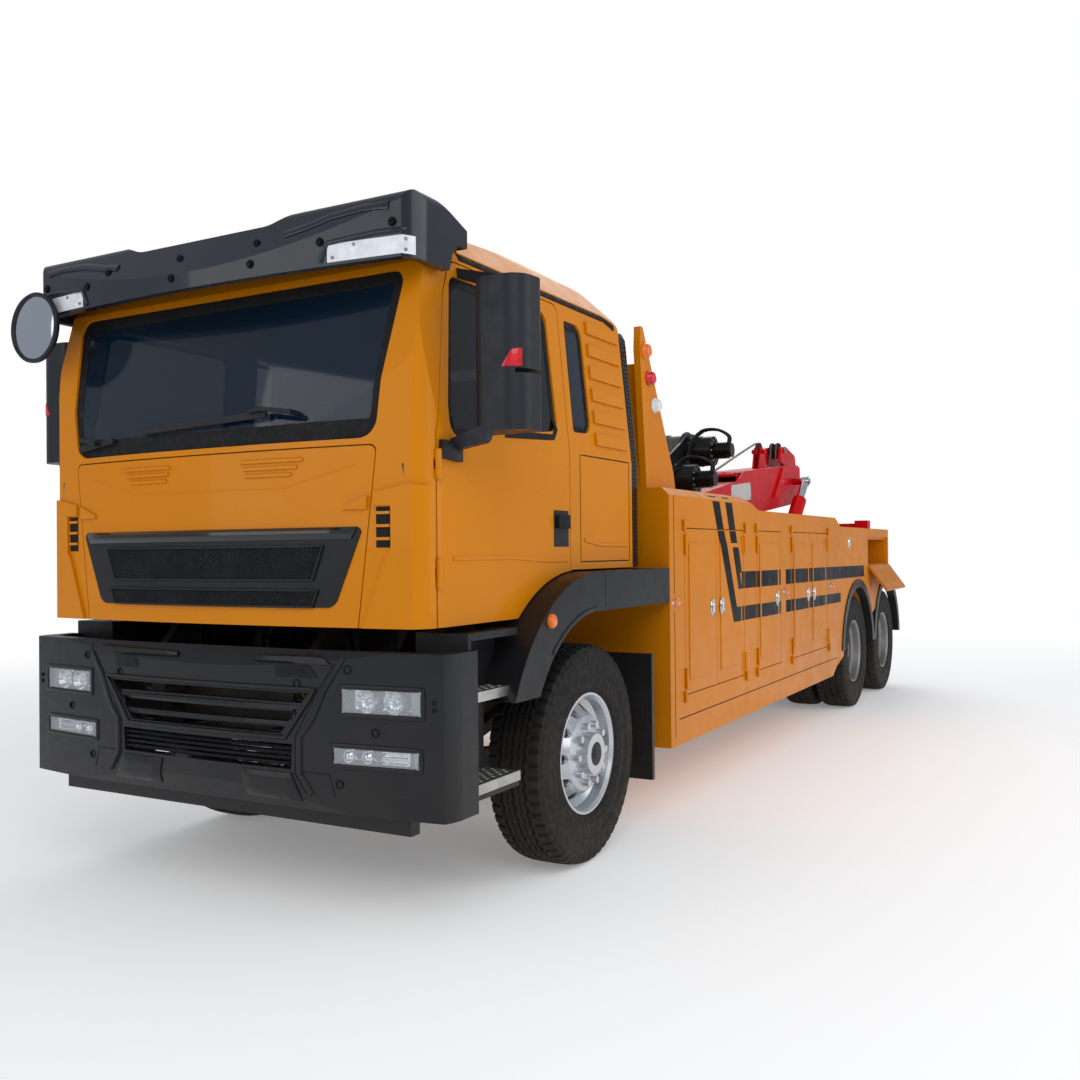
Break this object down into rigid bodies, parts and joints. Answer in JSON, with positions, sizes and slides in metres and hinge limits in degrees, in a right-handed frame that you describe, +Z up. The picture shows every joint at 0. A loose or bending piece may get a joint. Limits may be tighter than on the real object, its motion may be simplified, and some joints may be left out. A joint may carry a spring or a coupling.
{
  "type": "heavy recovery truck",
  "caption": "Heavy recovery truck: forward-control cab that tilts, lockers along both sides, telescoping boom with winches, and a folding under-lift.",
  "frame": {"origin": "on the ground, midway between the truck's front and rear ends and on its middle plane", "axes": "+X to the truck's left, +Y to its rear, -Y its front, +Z up"},
  "size_m": [2.9362, 9.591, 2.9963],
  "materials": {
    "cab_paint": "gloss orange-yellow paint",
    "boom_paint": "gloss red paint",
    "chassis_paint": "satin black chassis paint",
    "winch_paint": "semi-gloss black paint",
    "black_moulding": "grained black moulding",
    "visor_moulding": "blue-black gloss moulding",
    "cab_trim": "dark grey cab trim",
    "glazing": "tinted safety glass",
    "lamp_lens": "clear lenses over reflectors",
    "deck_plate": "chequered plate",
    "wheel_metal": "bright wheel finish",
    "drive_iron": "dark cast and forged iron",
    "tyre": "black tyre rubber",
    "rod_chrome": "hard chrome"
  },
  "bodies": {
    "truck": {"chassis_rails": "chassis_paint", "subframe": "chassis_paint", "engine": "drive_iron", "front_axle": "drive_iron", "drive_axles": "drive_iron", "body_left": "cab_paint", "body_right": "cab_paint", "deck": "deck_plate", "headboard": "cab_paint", "winch_frame": "winch_paint", "winches": "winch_paint", "bumper": "black_moulding", "lamps": "lamp_lens", "guards_and_steps": "black_moulding"},
    "cab": {"cab_shell": "cab_paint", "cab_glass": "glazing", "sun_visor": "visor_moulding", "cab_lamps": "lamp_lens", "cab_fittings": "cab_trim"},
    "front_flap": {"front_flap": "cab_paint", "grille": "black_moulding"},
    "cab_door_left": {"cab_door_left": "cab_paint", "door_glass_left": "glazing", "door_mirror_left": "black_moulding"},
    "cab_door_right": {"cab_door_right": "cab_paint", "door_glass_right": "glazing", "door_mirror_right": "black_moulding"},
    "knuckle_left": {"knuckle_left": "drive_iron"},
    "wheel_front_left": {"tyre_front_left": "tyre", "rim_front_left": "wheel_metal"},
    "wheels_rear_1_left": {"tyres_rear_1_left": "tyre", "rims_rear_1_left": "wheel_metal"},
    "wheels_rear_2_left": {"tyres_rear_2_left": "tyre", "rims_rear_2_left": "wheel_metal"},
    "knuckle_right": {"knuckle_right": "drive_iron"},
    "wheel_front_right": {"tyre_front_right": "tyre", "rim_front_right": "wheel_metal"},
    "wheels_rear_1_right": {"tyres_rear_1_right": "tyre", "rims_rear_1_right": "wheel_metal"},
    "wheels_rear_2_right": {"tyres_rear_2_right": "tyre", "rims_rear_2_right": "wheel_metal"},
    "door_front_fore_left": {"door_front_fore_left": "cab_paint"},
    "door_front_aft_left": {"door_front_aft_left": "cab_paint"},
    "door_middle_left": {"door_middle_left": "cab_paint"},
    "door_rear_fore_left": {"door_rear_fore_left": "cab_paint"},
    "door_rear_aft_left": {"door_rear_aft_left": "cab_paint"},
    "door_front_fore_right": {"door_front_fore_right": "cab_paint"},
    "door_front_aft_right": {"door_front_aft_right": "cab_paint"},
    "door_middle_right": {"door_middle_right": "cab_paint"},
    "door_rear_fore_right": {"door_rear_fore_right": "cab_paint"},
    "door_rear_aft_right": {"door_rear_aft_right": "cab_paint"},
    "station_lid_left": {"station_lid_left": "cab_paint"},
    "station_lid_right": {"station_lid_right": "cab_paint"},
    "boom": {"boom": "boom_paint"},
    "boom_extension": {"boom_extension": "boom_paint"},
    "lift_barrels": {"lift_barrels": "boom_paint"},
    "lift_rods": {"lift_rods": "rod_chrome"},
    "underlift_arm": {"underlift_arm": "boom_paint"},
    "underlift_extension": {"underlift_extension": "boom_paint"},
    "underlift_crossbar": {"underlift_crossbar": "boom_paint"}
  },
  "joints": [
    {"name": "cab_tilt", "type": "hinge", "parent": "truck", "child": "cab", "pos_m": [0, -4.6, 0.96], "axis": [1, 0, 0], "range_deg": [0, 45]},
    {"name": "front_flap_lift", "type": "hinge", "parent": "cab", "child": "front_flap", "pos_m": [0, -4.718, 1.982], "axis": [-1, 0, 0], "range_deg": [0, 80]},
    {"name": "cab_door_left_swing", "type": "hinge", "parent": "cab", "child": "cab_door_left", "pos_m": [1.122, -4.552, 1.6], "axis": [0, 0, -1], "range_deg": [0, 70]},
    {"name": "cab_door_right_swing", "type": "hinge", "parent": "cab", "child": "cab_door_right", "pos_m": [-1.122, -4.552, 1.6], "axis": [0, 0, 1], "range_deg": [0, 70]},
    {"name": "steer_left", "type": "hinge", "parent": "truck", "child": "knuckle_left", "pos_m": [0.87, -3.35, 0.542], "axis": [0, 0, 1], "range_deg": [-35, 35]},
    {"name": "wheel_front_left_spin", "type": "hinge", "parent": "knuckle_left", "child": "wheel_front_left", "pos_m": [1.055, -3.35, 0.542], "axis": [1, 0, 0], "continuous": true},
    {"name": "wheels_rear_1_left_spin", "type": "hinge", "parent": "truck", "child": "wheels_rear_1_left", "pos_m": [0.9, 2.45, 0.542], "axis": [1, 0, 0], "continuous": true},
    {"name": "wheels_rear_2_left_spin", "type": "hinge", "parent": "truck", "child": "wheels_rear_2_left", "pos_m": [0.9, 3.85, 0.542], "axis": [1, 0, 0], "continuous": true},
    {"name": "steer_right", "type": "hinge", "parent": "truck", "child": "knuckle_right", "pos_m": [-0.87, -3.35, 0.542], "axis": [0, 0, 1], "range_deg": [-35, 35]},
    {"name": "wheel_front_right_spin", "type": "hinge", "parent": "knuckle_right", "child": "wheel_front_right", "pos_m": [-1.055, -3.35, 0.542], "axis": [1, 0, 0], "continuous": true},
    {"name": "wheels_rear_1_right_spin", "type": "hinge", "parent": "truck", "child": "wheels_rear_1_right", "pos_m": [-0.9, 2.45, 0.542], "axis": [1, 0, 0], "continuous": true},
    {"name": "wheels_rear_2_right_spin", "type": "hinge", "parent": "truck", "child": "wheels_rear_2_right", "pos_m": [-0.9, 3.85, 0.542], "axis": [1, 0, 0], "continuous": true},
    {"name": "door_front_fore_left_swing", "type": "hinge", "parent": "truck", "child": "door_front_fore_left", "pos_m": [1.259, -2.184, 1.18], "axis": [0, 0, -1], "range_deg": [0, 90]},
    {"name": "door_front_aft_left_swing", "type": "hinge", "parent": "truck", "child": "door_front_aft_left", "pos_m": [1.259, -1.076, 1.18], "axis": [0, 0, 1], "range_deg": [0, 90]},
    {"name": "door_middle_left_swing", "type": "hinge", "parent": "truck", "child": "door_middle_left", "pos_m": [1.259, -0.784, 1.18], "axis": [0, 0, -1], "range_deg": [0, 90]},
    {"name": "door_rear_fore_left_swing", "type": "hinge", "parent": "truck", "child": "door_rear_fore_left", "pos_m": [1.259, 0.106, 1.18], "axis": [0, 0, -1], "range_deg": [0, 90]},
    {"name": "door_rear_aft_left_swing", "type": "hinge", "parent": "truck", "child": "door_rear_aft_left", "pos_m": [1.259, 1.234, 1.18], "axis": [0, 0, 1], "range_deg": [0, 90]},
    {"name": "door_front_fore_right_swing", "type": "hinge", "parent": "truck", "child": "door_front_fore_right", "pos_m": [-1.259, -2.184, 1.18], "axis": [0, 0, 1], "range_deg": [0, 90]},
    {"name": "door_front_aft_right_swing", "type": "hinge", "parent": "truck", "child": "door_front_aft_right", "pos_m": [-1.259, -1.076, 1.18], "axis": [0, 0, -1], "range_deg": [0, 90]},
    {"name": "door_middle_right_swing", "type": "hinge", "parent": "truck", "child": "door_middle_right", "pos_m": [-1.259, -0.784, 1.18], "axis": [0, 0, 1], "range_deg": [0, 90]},
    {"name": "door_rear_fore_right_swing", "type": "hinge", "parent": "truck", "child": "door_rear_fore_right", "pos_m": [-1.259, 0.106, 1.18], "axis": [0, 0, 1], "range_deg": [0, 90]},
    {"name": "door_rear_aft_right_swing", "type": "hinge", "parent": "truck", "child": "door_rear_aft_right", "pos_m": [-1.259, 1.234, 1.18], "axis": [0, 0, -1], "range_deg": [0, 90]},
    {"name": "station_lid_left_fold", "type": "hinge", "parent": "truck", "child": "station_lid_left", "pos_m": [1.25, 3.435, 1.35], "axis": [0, 1, 0], "range_deg": [-145, 0]},
    {"name": "station_lid_right_fold", "type": "hinge", "parent": "truck", "child": "station_lid_right", "pos_m": [-1.25, 3.435, 1.35], "axis": [0, -1, 0], "range_deg": [0, 145]},
    {"name": "boom_lift", "type": "hinge", "parent": "truck", "child": "boom", "pos_m": [0, 1.1, 1.88], "axis": [1, 0, 0], "range_deg": [0, 25]},
    {"name": "boom_slide", "type": "slide", "parent": "boom", "child": "boom_extension", "axis": [0, 0.9954, 0.0958], "range_m": [0, 1.6]},
    {"name": "lift_barrel_swing", "type": "hinge", "parent": "truck", "child": "lift_barrels", "pos_m": [0, 2.75, 1.4], "axis": [1, 0, 0], "range_deg": [0, 32.53]},
    {"name": "lift_rod_slide", "type": "slide", "parent": "lift_barrels", "child": "lift_rods", "axis": [0, 0.7513, 0.66], "range_m": [0, 0.7197]},
    {"name": "underlift_fold", "type": "hinge", "parent": "truck", "child": "underlift_arm", "pos_m": [0, 4.7, 0.64], "axis": [-1, 0, 0], "range_deg": [0, 90]},
    {"name": "underlift_slide", "type": "slide", "parent": "underlift_arm", "child": "underlift_extension", "axis": [0, 0, 1], "range_m": [0, 0.6]},
    {"name": "crossbar_swivel", "type": "hinge", "parent": "underlift_extension", "child": "underlift_crossbar", "pos_m": [0, 4.7, 1.77], "axis": [0, 1, 0], "range_deg": [-30, 30]}
  ],
  "couplings": [
    {"joint": "steer_right", "follows": "steer_left", "ratio": 1},
    {"joint": "lift_barrel_swing", "follows": "boom_lift", "ratio": 1.2814},
    {"joint": "lift_rod_slide", "follows": "boom_lift", "m_per_rad": 1.638}
  ]
}
